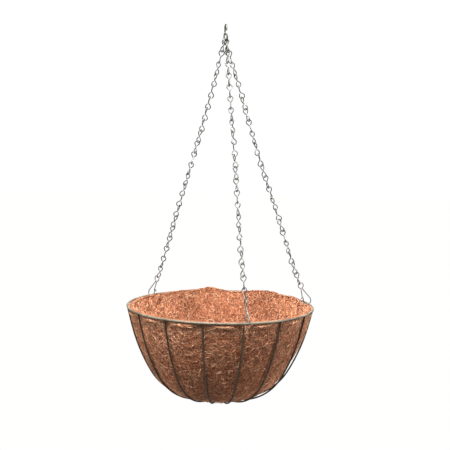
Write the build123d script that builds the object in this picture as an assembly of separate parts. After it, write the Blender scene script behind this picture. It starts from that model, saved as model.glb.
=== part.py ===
from build123d import *
import math
import os

# A wire hanging basket with a coir liner, hung on three jack chains.
# Millimetres. +Z is up, the front is -Y, and the origin is the saddle of the
# hook: the inside top of its bend, where it rests on whatever holds it.
# An azimuth is counted from the front (-Y) towards the right (+X).

# Basket frame
RIM_RADIUS = 177.8          # centreline of the rim, a 14 in basket
RIM_WIRE = 4.0
RIB_WIRE = 3.0
RIB_COUNT = 15
RIB_FIRST_AZIMUTH = 14.0
RIB_WELD = 1.2              # how far a rib's ends sink into the rim and the ring
BASE_RING_WIRE = 3.6

# Side of the bowl, from the rim down: a straight, a slack arc, a tight arc
SIDE_LEAN = 14.2            # degrees off the vertical at the rim
SIDE_STRAIGHT = 33.8
SIDE_ARC = 345.7
SIDE_ARC_END = 30.7         # lean at the end of the slack arc
BASE_ARC = 108.1            # carries on until the side lies flat

# Liner
LINER_GAP = 2.4             # from the ribs' centreline to the liner's outside
LINER_THICKNESS = 8.0
LINER_ABOVE_RIM = 1.0
NOTCH_WIDTH = 12.0          # where each clip pinches the liner's edge
NOTCH_BELOW_RIM = 10.5
NOTCH_REACH = 18.0

# Hook
HOOK_WIRE = 3.2
HOOK_TURN = 28.0            # azimuth of the eye's plane
HOOK_BEND_TURN = 10.0       # azimuth of the bend's plane; the shank twists between
HOOK_BEND = 7.5             # centreline radius of the bend over the saddle
HOOK_BEND_OFFSET = -1.0
HOOK_TIP_DROP = 9.5         # the tip, below the saddle
EYE_RADIUS = 6.3            # centreline
EYE_DROP = 22.0             # centre of the eye, below the saddle
EYE_TO_RIM = 503.7          # from the wire at the eye's bottom to the rim

# Chains
LINK_WIRE = 2.0
LINK_LOOP = 4.8             # centreline radius of a link's loops
LINK_TOP = 12.75            # link's centre to its upper wire
LINK_BOTTOM = 12.55         # link's centre to its lower wire, on the chain's line
LINK_BULGE = 1.4            # the lower loop stands off to one side
LINK_END = 2.4              # the cut ends stop this far from the waist
LINK_COUNT = 22
LINK_PITCH = 22.5
LINK_ROOM = 0.2             # between the eye and the top links
CLIP_ROOM = 0.75            # between the last link and the clip's ring
FIRST_SLACK = 0.3           # lets the basket rock on the three top links
CHAIN_SAG = 4.1
EYE_SPACING = 3.1           # between the top links along the eye

# Clips
CLIP_WIRE = 1.8
CLIP_RING = 5.4             # centreline radius
CLIP_NECK = 1.0             # half width at the neck
CLIP_OUTER = 11.6           # outer leg, off the chain's line
CLIP_INNER = 3.4            # inner upright, off the chain's line
CLIP_BELOW = 3.5            # bottom bar, below the rim's centre
CLIP_CATCH = 11.5           # catch, above the rim's centre
CLIP_TIP = 14.0             # end of the upright
CATCH_RADIUS = 2.5
GATE_GAP = 0.8

# name: (azimuth of the clip on the rim, place along the eye, turn of the clip
# off the radial plane, and how the links twist as (link number, degrees))
STRANDS = {
    "front": (15.6, EYE_SPACING, 10.0, [(1, -28), (6, 0), (20, 320), (22, 395)]),
    "right": (107.9, 0.0, 0.0, [(1, -28), (8, 180), (14, 372), (22, 702.1)]),
    "left": (-129.0, -EYE_SPACING, 0.0,
             [(1, -28), (3, 42), (5, 90), (8, 105), (11, 180), (15, 270), (22, 399)]),
}

EYE_BOTTOM_Z = -EYE_DROP - EYE_RADIUS
RIM_Z = EYE_BOTTOM_Z - EYE_TO_RIM


def radial(azimuth):
    """Horizontal unit vector at an azimuth."""
    angle = math.radians(azimuth)
    return Vector(math.sin(angle), -math.cos(angle), 0)


def rod(points, radii, diameter):
    """Round wire along straight runs joined by arcs, one radius per corner."""
    edges = []
    here = points[0]
    for corner, after, radius in zip(points[1:-1], points[2:], radii):
        back = (here - corner).normalized()
        ahead = (after - corner).normalized()
        half = math.acos(back.dot(ahead)) / 2
        middle = (back + ahead).normalized()
        reach = radius / math.tan(half)
        arc_start = corner + back * reach
        arc_end = corner + ahead * reach
        crown = corner + middle * (radius / math.sin(half) - radius)
        edges.append(Line(here, arc_start))
        edges.append(ThreePointArc(arc_start, crown, arc_end))
        here = arc_end
    edges.append(Line(here, points[-1]))
    path = Wire(edges)
    section = Plane(origin=points[0], z_dir=points[1] - points[0]) * Circle(diameter / 2)
    return sweep(section, path=path)


def side_points(offset):
    """Side of the bowl, moved inwards by offset: (radius, height below the rim)
    at its top, end of the straight, middle and end of each arc."""
    lean = math.radians(SIDE_LEAN)
    turn = math.radians(SIDE_ARC_END)
    r = RIM_RADIUS - offset * math.cos(lean)
    z = offset * math.sin(lean)
    points = [(r, z)]
    r -= SIDE_STRAIGHT * math.sin(lean)
    z -= SIDE_STRAIGHT * math.cos(lean)
    points.append((r, z))
    for radius, start, end in ((SIDE_ARC, lean, turn), (BASE_ARC, turn, math.pi / 2)):
        bend = radius - offset
        for angle in ((start + end) / 2, end):
            points.append((r - bend * (math.cos(start) - math.cos(angle)),
                           z - bend * (math.sin(angle) - math.sin(start))))
        r, z = points[-1]
    return points


def side_line(offset, start=0.0):
    """The side as edges in the XZ plane. start cuts length off its top, or adds
    length where it is negative."""
    p = [Vector(r, 0, z + RIM_Z) for r, z in side_points(offset)]
    top = p[0] + (p[1] - p[0]).normalized() * start
    return [Line(top, p[1]), ThreePointArc(p[1], p[2], p[3]), ThreePointArc(p[3], p[4], p[5])]


def make_hook():
    bend = radial(HOOK_BEND_TURN)
    eye = radial(HOOK_TURN)
    right = HOOK_BEND_OFFSET + HOOK_BEND
    left = HOOK_BEND_OFFSET - HOOK_BEND
    top = HOOK_WIRE / 2
    eye_top = -EYE_DROP + EYE_RADIUS
    bend_corners = [(right + 0.7, -HOOK_TIP_DROP), (right, -5.0), (right, top), (left, top),
                    (left, -12.0)]
    eye_corners = [(-EYE_RADIUS, -EYE_DROP + 2.0), (-EYE_RADIUS, EYE_BOTTOM_Z),
                   (EYE_RADIUS, EYE_BOTTOM_Z), (EYE_RADIUS, eye_top), (-5.6, eye_top)]
    eye_bend = EYE_RADIUS - 0.05
    radii = [3.0, HOOK_BEND - 0.02, HOOK_BEND - 0.02, 6.0, 4.0, eye_bend, eye_bend, eye_bend]
    points = [bend * across + Vector(0, 0, z) for across, z in bend_corners]
    points += [eye * across + Vector(0, 0, z) for across, z in eye_corners]
    return rod(points, radii, HOOK_WIRE)


def make_link():
    """One jack chain link: a wire bent into an eight, its loops square to each
    other. Its waist is the origin, the upper loop lies in XZ, the lower in YZ."""
    upper_centre = LINK_TOP - LINK_LOOP
    spread = math.asin(LINK_LOOP / upper_centre)
    top_corner = LINK_TOP * math.tan(spread)
    lower_centre = LINK_BOTTOM - math.sqrt(LINK_LOOP ** 2 - LINK_BULGE ** 2)
    lean = math.atan2(LINK_BULGE, lower_centre)
    opening = math.asin(LINK_LOOP / math.hypot(LINK_BULGE, lower_centre))
    floor = lower_centre + LINK_LOOP
    far = lean + opening
    near = lean - opening
    points = [
        Vector(-LINK_END * math.sin(spread), 0, LINK_END * math.cos(spread)),
        Vector(-top_corner, 0, LINK_TOP),
        Vector(top_corner, 0, LINK_TOP),
        Vector(0, 0, 0),
        Vector(0, floor * math.tan(far), -floor),
        Vector(0, floor * math.tan(near), -floor),
        Vector(0, LINK_END * math.sin(near), -LINK_END * math.cos(near)),
    ]
    bend = LINK_LOOP - 0.03
    return rod(points, [bend, bend, 3.0, bend, bend], LINK_WIRE)


def twist_at(keys, number):
    """Twist of a link, straight between the hand-set keys."""
    for (n0, a0), (n1, a1) in zip(keys, keys[1:]):
        if number <= n1:
            return a0 + (a1 - a0) * (number - n0) / (n1 - n0)


class Strand:
    """Where one chain runs: from the eye to its clip on the rim."""

    def __init__(self, azimuth, along_eye, clip_turn, keys):
        drop = math.sqrt(EYE_RADIUS ** 2 - along_eye ** 2)
        self.start = radial(HOOK_TURN) * along_eye + Vector(0, 0, -EYE_DROP - drop)
        self.end = radial(azimuth) * RIM_RADIUS + Vector(0, 0, RIM_Z)
        run = self.end - self.start
        self.length = run.length
        self.down = run.normalized()
        self.sag_way = (Vector(0, 0, -1) - self.down * Vector(0, 0, -1).dot(self.down)).normalized()
        self.clip_turn = clip_turn
        self.azimuth = azimuth
        self.keys = keys

    def at(self, distance):
        part = distance / self.length
        return (self.start + self.down * distance
                + self.sag_way * (CHAIN_SAG * 4 * part * (1 - part)))

    def link_centre(self, number):
        first = LINK_TOP - (HOOK_WIRE + LINK_WIRE) / 2 - LINK_ROOM
        if number == 1:
            return first
        return first - FIRST_SLACK + LINK_PITCH * (number - 1)

    def link_plane(self, number):
        middle = self.link_centre(number)
        top = self.at(middle - LINK_PITCH / 2)
        bottom = self.at(middle + LINK_PITCH / 2)
        way = (bottom - top).normalized()
        across = (Vector(1, 0, 0) - way * way.X).normalized()
        deep = way.cross(across)
        angle = math.radians(twist_at(self.keys, number))
        x_dir = across * math.cos(angle) + deep * math.sin(angle)
        return Plane(origin=self.at(middle), x_dir=x_dir, z_dir=way * -1)

    def clip_frame(self):
        """Outward, upward and sideways unit vectors of the clip, with the rim's
        centre as their origin, and the height of its ring's top."""
        up = self.down * -1
        out = radial(self.azimuth)
        out = (out - up * out.dot(up)).normalized()
        side = up.cross(out)
        angle = math.radians(self.clip_turn)
        turned = out * math.cos(angle) + side * math.sin(angle)
        last = self.link_centre(LINK_COUNT) + LINK_BOTTOM
        ring_top = self.length - last + (LINK_WIRE + CLIP_WIRE) / 2 + CLIP_ROOM
        return turned, up, up.cross(turned), ring_top

    def clip_points(self, corners):
        turned, up, side, _ = self.clip_frame()
        return [self.end + turned * w + up * t + side * b for w, t, b in corners]


def make_clip_wire(strand):
    """Ring, outer leg, bar under the rim and upright inside it, of one wire."""
    ring_top = strand.clip_frame()[3]
    centre = ring_top - CLIP_RING
    corner = CLIP_RING * math.sqrt(2)
    neck = centre - corner + CLIP_NECK
    corners = [(-CLIP_INNER, CLIP_TIP, 0), (-CLIP_INNER, -CLIP_BELOW, 0),
               (CLIP_OUTER - 2.0, -CLIP_BELOW, 0), (CLIP_OUTER, 4.5, 0),
               (CLIP_NECK, neck, 0), (corner, centre, 0), (0, centre + corner, 0),
               (-corner, centre, 0), (-CLIP_NECK, neck, 0)]
    bend = CLIP_RING - 0.05
    radii = [2.0, 3.0, 6.0, 1.5, bend, bend, bend]
    return rod(strand.clip_points(corners), radii, CLIP_WIRE)


def gate_top(strand):
    """Height of the gate's upper end, just under the end of the clip's ring."""
    return strand.clip_frame()[3] - CLIP_RING * (1 + math.sqrt(2)) + CLIP_NECK - GATE_GAP


def make_clip_gate(strand):
    """Sprung inner leg, with a catch that wraps round the upright's tip."""
    back = CLIP_INNER + CATCH_RADIUS
    corners = [(-CLIP_NECK - GATE_GAP, gate_top(strand), 0),
               (-CLIP_INNER, CLIP_CATCH, CATCH_RADIUS),
               (-back, CLIP_CATCH, CATCH_RADIUS), (-back, CLIP_CATCH, -CATCH_RADIUS),
               (-CLIP_INNER + 0.6, CLIP_CATCH, -CATCH_RADIUS)]
    return rod(strand.clip_points(corners), [1.0, 1.2, 2.0], CLIP_WIRE)


def make_rib(number):
    """Wire from the underside of the rim down to the base ring."""
    path = Wire(side_line(0, start=RIM_WIRE / 2 - RIB_WELD))
    section = Plane(origin=path @ 0, z_dir=path % 0) * Circle(RIB_WIRE / 2)
    azimuth = RIB_FIRST_AZIMUTH + number * 360 / RIB_COUNT
    return Rot(0, 0, azimuth - 90) * sweep(section, path=path)


def make_base_ring():
    r, z = side_points(0)[-1]
    radius = r - BASE_RING_WIRE / 2 + RIB_WELD
    return Pos(0, 0, z + RIM_Z) * Torus(radius, BASE_RING_WIRE / 2)


def make_liner(strands):
    """Bowl-shaped shell inside the ribs, notched where the clips pinch it."""
    rise = LINER_ABOVE_RIM / math.cos(math.radians(SIDE_LEAN))
    outer = side_line(LINER_GAP, start=-rise)
    inner = side_line(LINER_GAP + LINER_THICKNESS, start=-rise)
    outer_base = outer[-1] @ 1
    inner_base = inner[-1] @ 1
    outline = outer + [
        Line(outer_base, (0, 0, outer_base.Z)), Line((0, 0, outer_base.Z), (0, 0, inner_base.Z)),
        Line((0, 0, inner_base.Z), inner_base)] + inner + [Line(inner[0] @ 0, outer[0] @ 0)]
    bowl = revolve(make_face(outline), axis=Axis.Z)
    for strand in strands.values():
        notch = Box(2 * NOTCH_REACH, NOTCH_WIDTH, 2 * NOTCH_BELOW_RIM)
        place = Pos(RIM_RADIUS, 0, RIM_Z)
        bowl -= Rot(0, 0, strand.azimuth - 90) * place * notch
    return bowl


def save(shape, name):
    export_step(shape, f"parts/{name}.step")


def main():
    os.makedirs("parts", exist_ok=True)
    strands = {name: Strand(*values) for name, values in STRANDS.items()}
    save(make_hook(), "hook")
    save(Pos(0, 0, RIM_Z) * Torus(RIM_RADIUS, RIM_WIRE / 2), "rim")
    save(make_base_ring(), "base_ring")
    for number in range(RIB_COUNT):
        save(make_rib(number), f"rib_{number + 1:02d}")
    save(make_liner(strands), "liner")
    link = make_link()
    for name, strand in strands.items():
        save(strand.link_plane(1) * link, f"top_link_{name}")
        links = [strand.link_plane(n) * link for n in range(2, LINK_COUNT + 1)]
        save(Compound(children=links), f"chain_{name}")
        save(make_clip_wire(strand), f"clip_wire_{name}")
        save(make_clip_gate(strand), f"clip_gate_{name}")


main()
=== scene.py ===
import math

import bpy
import numpy as np
from mathutils import Euler, Matrix, Vector


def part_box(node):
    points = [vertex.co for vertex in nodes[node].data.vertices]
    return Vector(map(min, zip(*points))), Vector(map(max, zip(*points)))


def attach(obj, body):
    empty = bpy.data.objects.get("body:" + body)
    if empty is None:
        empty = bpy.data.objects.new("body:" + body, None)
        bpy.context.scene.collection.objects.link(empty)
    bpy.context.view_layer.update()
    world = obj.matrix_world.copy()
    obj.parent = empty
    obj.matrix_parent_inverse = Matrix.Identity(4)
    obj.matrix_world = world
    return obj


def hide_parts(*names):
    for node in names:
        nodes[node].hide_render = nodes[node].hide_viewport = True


# A wire hanging basket with a coir liner on three jack chains. Metres. +Z is up,
# the front is -Y, and an azimuth is counted from the front towards the right (+X).

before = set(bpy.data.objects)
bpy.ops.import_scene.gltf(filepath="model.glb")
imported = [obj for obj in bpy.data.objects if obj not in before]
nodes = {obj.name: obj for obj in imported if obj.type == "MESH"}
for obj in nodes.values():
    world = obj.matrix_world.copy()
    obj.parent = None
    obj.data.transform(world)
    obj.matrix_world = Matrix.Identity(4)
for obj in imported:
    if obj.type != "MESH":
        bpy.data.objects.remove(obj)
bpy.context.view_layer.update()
MM = 0.001

# ---------------------------------------------------------------- the bowl's shape

rim_low, rim_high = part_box("rim")
RIM_WIRE = rim_high.z - rim_low.z
RIM_Z = (rim_high.z + rim_low.z) / 2
RIM_RADIUS = (rim_high.x - rim_low.x - RIM_WIRE) / 2
RIB_COUNT = sum(name.startswith("rib_") for name in nodes)
RIB_FIRST = math.radians(14.0)
STRANDS = ("front", "right", "left")

SIDE_LEAN = math.radians(14.2)
SIDE_STRAIGHT = 33.8 * MM
SIDE_ARC = 345.7 * MM
SIDE_ARC_END = math.radians(30.7)
BASE_ARC = 108.1 * MM

LINER_GAP = 2.5 * MM
LINER_THICKNESS = 8.0 * MM

# The liner's outside is plain within BASE_REACH of the middle of the base, and
# takes BASE_FADE of run to get there. The others are also distances from the
# middle: where the mat's rows, a fibre's start and a fibre's end stop.
BASE_REACH = 55 * MM
BASE_FADE = 40 * MM
MAT_HOLE = 8 * MM
FIBRE_START = 14 * MM
FIBRE_END = 10 * MM

# The mat's grid, and how many fibres one body layer holds.
LINER_COLUMNS = 420
OUTER_ROWS = 112
EDGE_ROWS = 8
INNER_ROWS = 96
BODY_FIBRES = 5200


def side_table(step=0.5 * MM, above=20 * MM):
    """The ribs' line by the length run down it from the rim: its lean off the
    vertical is constant, then grows evenly along a slack arc and a tight arc to
    90 degrees, and stays there to the middle. Radius and height are the running
    sums of minus its sine and minus its cosine."""
    arc_end = SIDE_STRAIGHT + SIDE_ARC * (SIDE_ARC_END - SIDE_LEAN)
    flat = arc_end + BASE_ARC * (math.pi / 2 - SIDE_ARC_END)
    run = np.arange(-above, flat + RIM_RADIUS, step)
    lean = np.interp(run, [SIDE_STRAIGHT, arc_end, flat],
                     [SIDE_LEAN, SIDE_ARC_END, math.pi / 2])
    radius = -np.cumsum(np.sin(lean)) * step
    height = -np.cumsum(np.cos(lean)) * step
    radius += RIM_RADIUS - np.interp(0, run, radius)
    height += RIM_Z - np.interp(0, run, height)
    keep = radius > 0
    return run[keep], radius[keep], height[keep], lean[keep]


RUN, RADIUS, HEIGHT, LEAN = side_table()
RUN_END = RUN[-1]


def on_side(azimuth, run, depth):
    """A point at an azimuth and a run, moved inwards, square to the side, by
    depth. Gives the point and the unit vector that points inwards."""
    lean = np.interp(run, RUN, LEAN)
    radius = np.interp(run, RUN, RADIUS) - depth * np.cos(lean)
    height = np.interp(run, RUN, HEIGHT) + depth * np.sin(lean)
    radius = np.maximum(radius, 0)
    out = np.stack([np.sin(azimuth), -np.cos(azimuth), np.zeros_like(azimuth)], -1)
    point = out * radius[..., None]
    point[..., 2] = height
    inward = -out * np.cos(lean)[..., None]
    inward[..., 2] = np.sin(lean)
    return point, inward


def strand_azimuth(name):
    """Where a chain's clip sits on the rim, from the clip wire's box."""
    low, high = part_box(f"clip_wire_{name}")
    middle = (low + high) / 2
    return math.atan2(middle.x, -middle.y)


CLIP_AZIMUTHS = [strand_azimuth(name) for name in STRANDS]

# ---------------------------------------------------------------- the liner's form


def waves(seed, count, azimuth_waves, run_waves):
    """A smooth random height between about -1 and 1: a sum of sines, each with a
    whole number of waves round the bowl and some waves per metre down it."""
    rng = np.random.default_rng(seed)
    around = rng.integers(-azimuth_waves, azimuth_waves + 1, count)
    down = rng.uniform(-run_waves, run_waves, count) * 2 * math.pi
    phase = rng.uniform(0, 2 * math.pi, count)

    def height(azimuth, run):
        angle = (azimuth[..., None] * around + run[..., None] * down + phase)
        return np.sin(angle).sum(-1) / math.sqrt(count)

    return height


lumps = waves(11, 14, 9, 14)
dimples = waves(12, 40, 80, 75)
edge_lumps = waves(13, 10, 24, 0)
edge_nibbles = waves(14, 22, 110, 0)
inner_lumps = waves(15, 16, 12, 18)


def hump(azimuth, degrees, width):
    """1 at an azimuth, falling off to each side as a bell of that half width."""
    off = (azimuth - math.radians(degrees) + math.pi) % (2 * math.pi) - math.pi
    return np.exp(-(off / math.radians(width)) ** 2)


def clip_dent(azimuth):
    """1 where a clip pinches the edge, 0 away from it."""
    dent = np.zeros_like(azimuth)
    for place in CLIP_AZIMUTHS:
        dent = np.maximum(dent, hump(azimuth, math.degrees(place), 2.6))
    return dent


def edge_run(azimuth):
    """Run of the liner's torn top edge: minus its height over the rim."""
    flat = np.zeros_like(azimuth)
    back = hump(azimuth, 180, 62)
    height = (-2.3 + 0.3 * back + 0.6 * edge_lumps(azimuth, flat)
              + 0.5 * edge_nibbles(azimuth, flat)
              + 6.2 * hump(azimuth, 187, 8) + 2.4 * hump(azimuth, 203, 14)
              + 4.2 * hump(azimuth, 124, 9) + 6.6 * hump(azimuth, 148, 13)
              - 1.4 * hump(azimuth, 171, 6) - 2.2 * clip_dent(azimuth))
    return -height * MM


def above_base(run):
    """1 up the side, falling evenly to 0 where the liner lies on the base."""
    return np.clip((RUN_END - BASE_REACH - run) / BASE_FADE, 0, 1)


def middle_depth(azimuth, run):
    """What both faces of the mat share, in millimetres of depth inside the ribs'
    line: it is pinched by the clips and hangs loose at the lower right."""
    low = np.clip((run - 40 * MM) / (70 * MM), 0, 1)
    low = low * above_base(run)
    loose = (5.0 * hump(azimuth, 78, 32) + 0.6 * hump(azimuth, -88, 20)) * low
    near_clip = np.clip(1.5 - run / (14 * MM), 0, 1)
    return 0.45 + loose + 8.5 * clip_dent(azimuth) * near_clip


def outer_depth(azimuth, run):
    """How far the outside lies inside the ribs' line. It is held back at each
    rib, swells between them, rolls out in a shoulder just under the rim, and
    passes inside the rim itself."""
    between = (0.5 - 0.5 * np.cos(RIB_COUNT * (azimuth - RIB_FIRST))) ** 0.7
    below_rim = np.clip((run - 1.8 * MM) / (5 * MM), 0, 1)
    below_rim = below_rim * below_rim * (3 - 2 * below_rim)
    shoulder = 3.0 * np.exp(-((run - 5.5 * MM) / (5 * MM)) ** 2)
    swell = (1.9 + 0.8 * lumps(azimuth, run) + shoulder) * between * below_rim
    rough = 0.35 * dimples(azimuth, run) * below_rim
    swell *= above_base(run)
    return LINER_GAP + MM * (middle_depth(azimuth, run) - swell - rough)


def inner_depth(azimuth, run):
    """How far the inside lies inside the ribs' line: the mat's thickness further
    in, thinner at the edge and uneven below it."""
    near_edge = np.clip((run - edge_run(azimuth)) / (22 * MM), 0, 1)
    uneven = 0.6 * inner_lumps(azimuth, run) + 0.25 * dimples(azimuth + 2.0, run)
    thick = LINER_THICKNESS * (0.72 + 0.28 * near_edge)
    return LINER_GAP + thick + MM * (middle_depth(azimuth, run) + uneven * near_edge)


def outside(azimuth, run, lift=0.0):
    """A point on the liner's outside, standing off by lift, and which way is out."""
    point, inward = on_side(azimuth, run, outer_depth(azimuth, run) - lift)
    return point, -inward


def inside(azimuth, run, lift=0.0):
    """A point on the liner's inside, standing off by lift, and which way is off."""
    return on_side(azimuth, run, inner_depth(azimuth, run) + lift)


# ---------------------------------------------------------------- mesh helpers


def mesh_object(name, points, quads, triangles, smooth=True):
    """An object from arrays of points, four-cornered faces and three-cornered
    faces."""
    quads = np.asarray(quads, np.int32).reshape(-1, 4)
    triangles = np.asarray(triangles, np.int32).reshape(-1, 3)
    mesh = bpy.data.meshes.new(name)
    mesh.vertices.add(len(points))
    mesh.vertices.foreach_set("co", np.ascontiguousarray(points, np.float32).ravel())
    corners = np.concatenate([quads.ravel(), triangles.ravel()])
    mesh.loops.add(len(corners))
    mesh.loops.foreach_set("vertex_index", corners)
    sizes = np.concatenate([np.full(len(quads), 4), np.full(len(triangles), 3)])
    starts = np.concatenate([[0], np.cumsum(sizes)[:-1]])
    mesh.polygons.add(len(sizes))
    mesh.polygons.foreach_set("loop_start", starts.astype(np.int32))
    mesh.update(calc_edges=True)
    mesh.validate()
    mesh.shade_smooth() if smooth else mesh.shade_flat()
    made = bpy.data.objects.new(name, mesh)
    bpy.context.scene.collection.objects.link(made)
    return made


def grid_faces(rows, columns):
    """Quads of a grid that closes on itself along its columns."""
    row = np.arange(rows - 1)[:, None]
    column = np.arange(columns)[None, :]
    after = (column + 1) % columns
    quads = np.stack([row * columns + column, row * columns + after,
                      (row + 1) * columns + after, (row + 1) * columns + column], -1)
    return quads.reshape(-1, 4)


def fan(centre, ring, flip):
    """Triangles from one point to a closed ring of points."""
    after = np.roll(ring, -1)
    first, second = (after, ring) if flip else (ring, after)
    return np.stack([np.full(len(ring), centre), first, second], -1)


def tubes(name, paths, normals, radii, tones, sides=3):
    """Many thin closed tubes in one object. Each follows its row of paths; its
    cross-section is a regular polygon set out from the surface normal and from
    the normal crossed with the path, scaled by the radius at that point. tones is
    kept on the points as the attribute tone."""
    count, steps, _ = paths.shape
    along = np.gradient(paths, axis=1)
    along /= np.linalg.norm(along, axis=-1, keepdims=True)
    across = np.cross(along, normals)
    across /= np.linalg.norm(across, axis=-1, keepdims=True)
    up = np.cross(across, along)
    turn = np.arange(sides) * 2 * math.pi / sides + math.pi / 2
    ring = (across[:, :, None] * np.cos(turn)[:, None]
            + up[:, :, None] * np.sin(turn)[:, None])
    points = paths[:, :, None] + ring * radii[:, :, None, None]
    start = (np.arange(count) * steps * sides)[:, None, None]
    step = (np.arange(steps - 1) * sides)[None, :, None]
    side = np.arange(sides)[None, None, :]
    after = (side + 1) % sides
    quads = np.stack([start + step + side, start + step + after,
                      start + step + sides + after, start + step + sides + side], -1)
    first = start[:, :, 0] + np.arange(sides)[::-1]
    last = start[:, :, 0] + (steps - 1) * sides + np.arange(sides)
    made = mesh_object(name, points.reshape(-1, 3), quads, np.concatenate([first, last]))
    kept = made.data.attributes.new("tone", "FLOAT", "POINT")
    kept.data.foreach_set("value", np.repeat(tones, steps * sides).astype(np.float32))
    return made


# ---------------------------------------------------------------- the coir


def make_mat():
    """The pressed mat: a closed shell. Its rows run from the middle of the base
    up the outside, over the torn edge in a half round, and down the inside; each
    row is the outside or inside at an even share of the run below the edge."""
    azimuth = np.linspace(0, 2 * math.pi, LINER_COLUMNS, endpoint=False)
    top = edge_run(azimuth)
    last = RUN_END - MAT_HOLE
    rows = []
    for share in np.linspace(1, 0, OUTER_ROWS):
        run = top + (last - top) * share
        rows.append(outside(azimuth, run)[0])
    outer_top, out = outside(azimuth, top)
    inner_top, _ = inside(azimuth, top)
    middle = (outer_top + inner_top) / 2
    half = np.linalg.norm(outer_top - inner_top, axis=-1, keepdims=True) / 2
    up = np.stack([np.zeros(LINER_COLUMNS)] * 2 + [np.ones(LINER_COLUMNS)], -1)
    for angle in np.linspace(0, math.pi, EDGE_ROWS)[1:-1]:
        rows.append(middle + out * half * math.cos(angle) + up * half * 0.8 * math.sin(angle))
    for share in np.linspace(0, 1, INNER_ROWS):
        run = top + (last - top) * share
        rows.append(inside(azimuth, run)[0])
    points = np.concatenate(rows)
    count = len(rows)
    under = rows[0].mean(0)
    over = rows[-1].mean(0)
    points = np.concatenate([points, [under, over]])
    first = np.arange(LINER_COLUMNS)
    final = first + (count - 1) * LINER_COLUMNS
    triangles = np.concatenate([fan(len(points) - 2, first, True),
                                fan(len(points) - 1, final, False)])
    return mesh_object("coir_mat", points, grid_faces(count, LINER_COLUMNS), triangles)


def lay_fibres(name, face, count, seed, length, lift, thickness, steps=7, curl=22,
               band=None, tone_range=(0.0, 1.0), loops=0.0):
    """Loose coconut fibres on one face of the mat. A fibre starts anywhere, evenly
    by area; its heading turns at a steady random rate plus a slow wobble, and its
    steps are summed over the surface; its height off the mat follows a slow sine
    along it."""
    rng = np.random.default_rng(seed)
    low, high = band or (0.0, RUN_END - FIBRE_START)
    table = np.linspace(low, high, 400)
    weight = np.interp(table, RUN, RADIUS)
    share = np.cumsum(weight) / weight.sum()
    run0 = np.interp(rng.uniform(0, 1, count), share, table)
    azimuth0 = rng.uniform(0, 2 * math.pi, count)
    if band is None:
        run0 = run0 + edge_run(azimuth0) * np.clip(1 - run0 / (40 * MM), 0, 1)
    step = rng.uniform(*length, count) / (steps - 1)
    bend = rng.normal(0, 1, count) * curl * step + rng.choice([-1, 1], count) * loops
    wobble = np.cumsum(rng.normal(0, 0.18, (count, steps)), 1)
    heading = (rng.uniform(0, 2 * math.pi, count)[:, None] + bend[:, None] * np.arange(steps)
               + wobble)
    run = run0[:, None] + np.cumsum(np.sin(heading), 1) * step[:, None]
    round_here = np.maximum(np.interp(run, RUN, RADIUS), 12 * MM)
    azimuth = azimuth0[:, None] + np.cumsum(np.cos(heading) / round_here, 1) * step[:, None]
    run = np.clip(run, edge_run(azimuth) - 0.5 * MM, RUN_END - FIBRE_END)
    phase = rng.uniform(0, 2 * math.pi, count)[:, None]
    pace = rng.uniform(0.5, 1.4, count)[:, None]
    swing = 0.5 + 0.5 * np.sin(phase + np.arange(steps) * pace)
    height = rng.uniform(*lift, count)[:, None] * swing
    paths, normals = face(azimuth, run, height)
    radii = rng.lognormal(math.log(thickness / 2), 0.25, count)[:, None] * np.ones(steps)
    radii[:, [0, -1]] *= 0.4
    tones = rng.uniform(*tone_range, count)
    return tubes(name, paths, normals, radii, tones)


def make_coir():
    """The mat and its fibres, layer by layer: a dense body on each face, short
    fibres along the torn edge, the outer ones paled as a painted highlight, thick curled
    strands and a few long strays. Each layer has its name, its face of the mat, its count,
    its seed and its fibres."""
    body = dict(length=(22 * MM, 48 * MM), thickness=0.62 * MM, tone_range=(0.0, 0.75))
    edge = dict(length=(14 * MM, 30 * MM))
    strand = dict(length=(9 * MM, 22 * MM), lift=(0.4 * MM, 1.1 * MM), thickness=1.0 * MM,
                  curl=90, tone_range=(0.5, 1.0))
    stray = dict(length=(35 * MM, 75 * MM), thickness=0.7 * MM, steps=16, curl=10,
                 tone_range=(0.75, 1.0), loops=0.22)
    layers = [(f"coir_outer_{number + 1}", outside, BODY_FIBRES, 100 + number,
               dict(body, lift=(0.0, 0.9 * MM))) for number in range(3)]
    layers += [(f"coir_inner_{number + 1}", inside, BODY_FIBRES, 200 + number,
                dict(body, lift=(0.0, 1.1 * MM))) for number in range(2)]
    layers += [
        # The outer edge fibres are paler than the body: a painted highlight for the lit
        # shoulder of the mat just under the rim.
        ("coir_edge_outer_painted_highlight", outside, 2400, 301,
         dict(edge, lift=(0.3 * MM, 1.6 * MM), thickness=0.6 * MM,
              band=(0.5 * MM, 9 * MM), tone_range=(0.6, 1.0))),
        ("coir_edge_inner", inside, 1500, 302,
         dict(edge, lift=(0.3 * MM, 2.2 * MM), thickness=0.5 * MM, band=(-2 * MM, 9 * MM))),
        ("coir_strand_outer", outside, 4300, 501, strand),
        ("coir_strand_inner", inside, 4300, 502, strand),
        ("coir_stray_outer", outside, 70, 401, dict(stray, lift=(1.0 * MM, 3.4 * MM))),
        ("coir_stray_inner", inside, 70, 402, dict(stray, lift=(1.0 * MM, 3.6 * MM))),
    ]
    made = [make_mat()]
    for name, face, count, seed, fibres in layers:
        made.append(lay_fibres(name, face, count, seed, **fibres))
    return made


# ---------------------------------------------------------------- finishes


def new_material(name):
    """A new material, its node tree and its Principled shader."""
    material = bpy.data.materials.new(name)
    material.use_nodes = True
    tree = material.node_tree
    shader = tree.nodes["Principled BSDF"]
    return material, tree, shader


def add(tree, kind, **values):
    """A node of a kind with its inputs or settings set by name."""
    node = tree.nodes.new(kind)
    for name, value in values.items():
        if name in node.inputs:
            node.inputs[name].default_value = value
        else:
            setattr(node, name, value)
    return node


def ramp(tree, stops):
    """A colour ramp with (place, colour) stops."""
    node = tree.nodes.new("ShaderNodeValToRGB")
    elements = node.color_ramp.elements
    while len(elements) < len(stops):
        elements.new(0.5)
    for element, (place, colour) in zip(elements, stops):
        element.position = place
        element.color = (*colour, 1)
    return node


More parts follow.
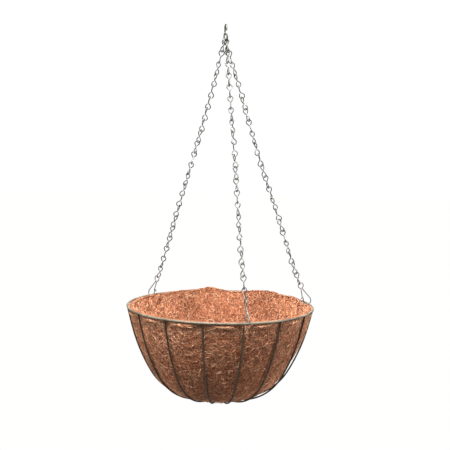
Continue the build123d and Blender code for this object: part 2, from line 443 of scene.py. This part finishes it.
def group(name, inputs, outputs):
    """An empty shader node group with named float or colour sockets."""
    made = bpy.data.node_groups.new(name, "ShaderNodeTree")
    for side, sockets in (("INPUT", inputs), ("OUTPUT", outputs)):
        for label, kind, value in sockets:
            socket = made.interface.new_socket(label, in_out=side,
                                               socket_type=f"NodeSocket{kind}")
            if value is not None:
                socket.default_value = value
    return made, made.nodes.new("NodeGroupInput"), made.nodes.new("NodeGroupOutput")


def use(tree, made, **values):
    """A node group placed in a material, its inputs set by name."""
    node = tree.nodes.new("ShaderNodeGroup")
    node.node_tree = made
    for name, value in values.items():
        node.inputs[name.replace("_", " ")].default_value = value
    return node


def patches_and_pit_shade_group():
    """Slow brightness patches over the whole mat, from two sizes of noise, times small pits
    that fall to the pit input between clumps of fibre: painted shade for the depth between
    clumps, with painted light lifting the clumps a little above 1."""
    made, given, result = group(
        "Patches and pit shade", [("Dark", "Float", 0.7), ("Light", "Float", 1.2), ("Pit", "Float", 0.5)],
        [("Factor", "Float", None)])
    place = made.nodes.new("ShaderNodeTexCoord")
    large = add(made, "ShaderNodeTexNoise", Scale=9.0, Detail=3.0, Roughness=0.6)
    small = add(made, "ShaderNodeTexNoise", Scale=46.0, Detail=3.0, Roughness=0.6)
    blend = add(made, "ShaderNodeMath", operation="MULTIPLY_ADD")
    blend.inputs[1].default_value = 0.45
    span = add(made, "ShaderNodeMapRange")
    span.inputs["From Min"].default_value = 0.50
    span.inputs["From Max"].default_value = 0.95
    links = made.links
    links.new(place.outputs["Object"], large.inputs["Vector"])
    links.new(place.outputs["Object"], small.inputs["Vector"])
    links.new(small.outputs["Fac"], blend.inputs[0])
    links.new(large.outputs["Fac"], blend.inputs[2])
    links.new(blend.outputs[0], span.inputs["Value"])
    links.new(given.outputs["Dark"], span.inputs["To Min"])
    links.new(given.outputs["Light"], span.inputs["To Max"])
    clumps = add(made, "ShaderNodeTexNoise", Scale=290.0, Detail=2.0, Roughness=0.55,
                 Distortion=1.4)
    # The pits: painted shade between clumps of fibre, down to the pit input, and painted
    # light on the clumps, up to 1.12.
    pits = add(made, "ShaderNodeMapRange")
    pits.inputs["From Min"].default_value = 0.36
    pits.inputs["From Max"].default_value = 0.56
    pits.inputs["To Max"].default_value = 1.12
    both = add(made, "ShaderNodeMath", operation="MULTIPLY")
    links.new(place.outputs["Object"], clumps.inputs["Vector"])
    links.new(clumps.outputs["Fac"], pits.inputs["Value"])
    links.new(given.outputs["Pit"], pits.inputs["To Min"])
    links.new(span.outputs["Result"], both.inputs[0])
    links.new(pits.outputs["Result"], both.inputs[1])
    links.new(both.outputs[0], result.inputs["Factor"])
    return made


def tarnish_group():
    """Mottled metal: a broad cloud and a fine speckle, as a mask and as a height."""
    made, given, result = group(
        "Tarnish", [("Cloud", "Float", 60.0), ("Speckle", "Float", 900.0)],
        [("Mask", "Float", None), ("Height", "Float", None)])
    place = made.nodes.new("ShaderNodeTexCoord")
    cloud = add(made, "ShaderNodeTexNoise", Detail=4.0, Roughness=0.6)
    speckle = add(made, "ShaderNodeTexNoise", Detail=2.0, Roughness=0.5)
    both = add(made, "ShaderNodeMath", operation="MULTIPLY")
    span = add(made, "ShaderNodeMapRange")
    span.inputs["From Min"].default_value = 0.16
    span.inputs["From Max"].default_value = 0.36
    links = made.links
    links.new(place.outputs["Object"], cloud.inputs["Vector"])
    links.new(place.outputs["Object"], speckle.inputs["Vector"])
    links.new(given.outputs["Cloud"], cloud.inputs["Scale"])
    links.new(given.outputs["Speckle"], speckle.inputs["Scale"])
    links.new(cloud.outputs["Fac"], both.inputs[0])
    links.new(speckle.outputs["Fac"], both.inputs[1])
    links.new(both.outputs[0], span.inputs["Value"])
    links.new(span.outputs["Result"], result.inputs["Mask"])
    links.new(speckle.outputs["Fac"], result.inputs["Height"])
    return made


def shade_colour(tree, colours, shade, shader):
    """The ramp's colour times the patches' brightness, as the base colour."""
    tint = add(tree, "ShaderNodeMix", data_type="RGBA", blend_type="MULTIPLY")
    factor, first, second = tint.inputs[0], tint.inputs[6], tint.inputs[7]
    factor.default_value = 1.0
    tree.links.new(colours.outputs["Color"], first)
    tree.links.new(shade.outputs["Factor"], second)
    tree.links.new(tint.outputs[2], shader.inputs["Base Color"])


def coir_fibre_finish(patches):
    """Single fibres: rust brown to straw by each fibre's own tone, in patches, with painted
    shade in the pits between clumps.
    """
    material, tree, shader = new_material("coir_fibre")
    tone = add(tree, "ShaderNodeAttribute", attribute_name="tone")
    colours = ramp(tree, [(0.0, (0.33, 0.115, 0.050)), (0.30, (0.52, 0.20, 0.095)),
                          (0.65, (0.68, 0.31, 0.165)), (0.9, (0.80, 0.45, 0.27)),
                          (1.0, (0.86, 0.56, 0.36))])
    # The pit value is painted shade between clumps of fibre.
    shade = use(tree, patches, Dark=0.82, Light=1.16, Pit=0.40)
    links = tree.links
    links.new(tone.outputs["Fac"], colours.inputs["Fac"])
    shade_colour(tree, colours, shade, shader)
    shader.inputs["Roughness"].default_value = 0.62
    shader.inputs["Specular IOR Level"].default_value = 0.35
    return material


def coir_mat_finish(patches):
    """The mat under the fibres: a dark tangle with pits between its strands. Its browns are
    the mat's own; its near-black lowest stop is painted shade for the depth between strands.
    """
    material, tree, shader = new_material("coir_mat")
    place = tree.nodes.new("ShaderNodeTexCoord")
    tangle = add(tree, "ShaderNodeTexNoise", Scale=210.0, Detail=5.0, Roughness=0.7,
                 Distortion=2.6)
    colours = ramp(tree, [(0.30, (0.075, 0.022, 0.009)), (0.45, (0.24, 0.080, 0.034)),
                          (0.58, (0.46, 0.175, 0.083)), (0.75, (0.66, 0.30, 0.16))])
    # The pit value is painted shade between clumps of fibre.
    shade = use(tree, patches, Dark=0.8, Light=1.15, Pit=0.5)
    bump = add(tree, "ShaderNodeBump", Strength=0.9, Distance=0.0012)
    links = tree.links
    links.new(place.outputs["Object"], tangle.inputs["Vector"])
    links.new(tangle.outputs["Fac"], colours.inputs["Fac"])
    shade_colour(tree, colours, shade, shader)
    links.new(tangle.outputs["Fac"], bump.inputs["Height"])
    links.new(bump.outputs["Normal"], shader.inputs["Normal"])
    shader.inputs["Roughness"].default_value = 0.9
    shader.inputs["Specular IOR Level"].default_value = 0.2
    return material


def wire_finish(name, tarnish, dull, clean, roughness, metallic, cloud=60.0):
    """Wire: two colours mixed by tarnish, with a fine uneven surface."""
    material, tree, shader = new_material(name)
    mottle = use(tree, tarnish, Cloud=cloud, Speckle=900.0)
    colours = ramp(tree, [(0.0, dull), (1.0, clean)])
    gloss = add(tree, "ShaderNodeMapRange")
    gloss.inputs["To Min"].default_value = roughness + 0.14
    gloss.inputs["To Max"].default_value = roughness
    bump = add(tree, "ShaderNodeBump", Strength=0.25, Distance=0.0002)
    links = tree.links
    links.new(mottle.outputs["Mask"], colours.inputs["Fac"])
    links.new(mottle.outputs["Mask"], gloss.inputs["Value"])
    links.new(colours.outputs["Color"], shader.inputs["Base Color"])
    links.new(gloss.outputs["Result"], shader.inputs["Roughness"])
    links.new(mottle.outputs["Height"], bump.inputs["Height"])
    links.new(bump.outputs["Normal"], shader.inputs["Normal"])
    shader.inputs["Metallic"].default_value = metallic
    return material


def finish_wires():
    """Every wire of the frame, the chains, the clips and the hook."""
    tarnish = tarnish_group()
    zinc = wire_finish("zinc_chain", tarnish, (0.10, 0.097, 0.090), (0.25, 0.245, 0.23),
                       0.42, 0.8)
    clip = wire_finish("zinc_clip", tarnish, (0.11, 0.105, 0.095), (0.28, 0.27, 0.25),
                       0.42, 0.8)
    hook = wire_finish("zinc_hook", tarnish, (0.06, 0.063, 0.050), (0.17, 0.175, 0.15),
                       0.42, 0.8)
    paint = wire_finish("olive_paint", tarnish, (0.024, 0.013, 0.005),
                        (0.072, 0.050, 0.026), 0.42, 0.0, cloud=34.0)
    # The rim's paint is a lighter copy of the ribs' olive paint: painted light for the rim's
    # top, lit from above by the key.
    rim_painted_light = wire_finish("olive_paint_rim_painted_light", tarnish, (0.060, 0.042, 0.022),
                       (0.26, 0.225, 0.16), 0.40, 0.0, cloud=34.0)
    finishes = {"hook": hook, "clip": clip, "chain": zinc, "top_link": zinc, "rim": rim_painted_light,
                "rib": paint, "base_ring": paint}
    for name, node in nodes.items():
        for start, material in finishes.items():
            if name.startswith(start):
                node.data.materials.clear()
                node.data.materials.append(material)


# ---------------------------------------------------------------- the studio

FLOOR_DROP = 2.0
LENS = 84.3
LOOK_DOWN = math.radians(5.84)
LOOK_RIGHT = math.radians(0.17)
ROLL = math.radians(1.18)


def area_light(name, place, target, size, power):
    """A square soft light at a place, facing a target."""
    light = bpy.data.lights.new(name, "AREA")
    light.shape = "SQUARE"
    light.size = size
    light.energy = power
    made = bpy.data.objects.new(name, light)
    bpy.context.scene.collection.objects.link(made)
    made.location = place
    made.rotation_mode = "QUATERNION"
    made.rotation_quaternion = (Vector(target) - Vector(place)).to_track_quat("-Z", "Y")


def seen_bright(tree, plain, bright, surface):
    """The camera sees the bright shader, and every other ray the plain one."""
    seen = tree.nodes.new("ShaderNodeLightPath")
    mix = tree.nodes.new("ShaderNodeMixShader")
    tree.links.new(seen.outputs["Is Camera Ray"], mix.inputs["Fac"])
    tree.links.new(plain.outputs[0], mix.inputs[1])
    tree.links.new(bright.outputs[0], mix.inputs[2])
    tree.links.new(mix.outputs[0], surface)


def make_floor():
    """A plain pale floor, well below the hanging basket, evenly bright to the eye."""
    reach = 30.0
    level = RIM_Z - FLOOR_DROP
    corners = np.array([[-reach, -reach, level], [reach, -reach, level],
                        [reach, reach, level], [-reach, reach, level]])
    made = mesh_object("floor", corners, [[0, 1, 2, 3]], np.zeros((0, 3)), smooth=False)
    material, tree, shader = new_material("floor_paint")
    shader.inputs["Base Color"].default_value = (0.45, 0.45, 0.445, 1)
    shader.inputs["Roughness"].default_value = 0.9
    glow = add(tree, "ShaderNodeEmission", Color=(1, 1, 0.995, 1), Strength=1.0)
    seen_bright(tree, shader, glow, tree.nodes["Material Output"].inputs["Surface"])
    made.data.materials.append(material)


def make_studio():
    """A white surround, a large soft key light high in front, a little to the
    left, and weaker ones at the left, the right and the back."""
    scene = bpy.context.scene
    scene.view_settings.view_transform = "Standard"
    world = bpy.data.worlds.new("studio")
    scene.world = world
    world.use_nodes = True
    tree = world.node_tree
    plain = tree.nodes["Background"]
    plain.inputs["Color"].default_value = (1, 1, 1, 1)
    plain.inputs["Strength"].default_value = 0.27
    bright = add(tree, "ShaderNodeBackground", Color=(1, 1, 1, 1), Strength=1.02)
    seen_bright(tree, plain, bright, tree.nodes["World Output"].inputs["Surface"])
    middle = (0, 0, RIM_Z)
    area_light("key", (-0.35, -1.25, RIM_Z + 2.3), middle, 1.0, 200)
    area_light("left", (-2.2, -0.3, RIM_Z + 0.4), middle, 1.2, 20)
    area_light("back", (0.5, 1.9, RIM_Z + 1.3), middle, 1.3, 26)
    area_light("right", (2.2, -0.3, RIM_Z + 0.4), middle, 1.2, 34)


def make_camera():
    """A long lens about two metres in front of the basket and a little above its
    rim, looking slightly down and rolled by about a degree."""
    camera = bpy.data.cameras.new("camera")
    camera.sensor_width = 36.0
    camera.lens = LENS
    camera.clip_end = 100
    made = bpy.data.objects.new("camera", camera)
    bpy.context.scene.collection.objects.link(made)
    made.location = (0, -2.0007, RIM_Z + 0.3611)
    facing = Euler((math.pi / 2 - LOOK_DOWN, 0, -LOOK_RIGHT)).to_matrix()
    made.rotation_euler = (facing @ Matrix.Rotation(ROLL, 3, "Z")).to_euler()
    bpy.context.scene.camera = made


def main():
    make_camera()
    patches = patches_and_pit_shade_group()
    fibre = coir_fibre_finish(patches)
    mat = coir_mat_finish(patches)
    coir = make_coir()
    for piece in coir:
        piece.data.materials.append(mat if piece.name == "coir_mat" else fibre)
        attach(piece, "liner")
    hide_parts("liner")
    finish_wires()
    make_floor()
    make_studio()


main()
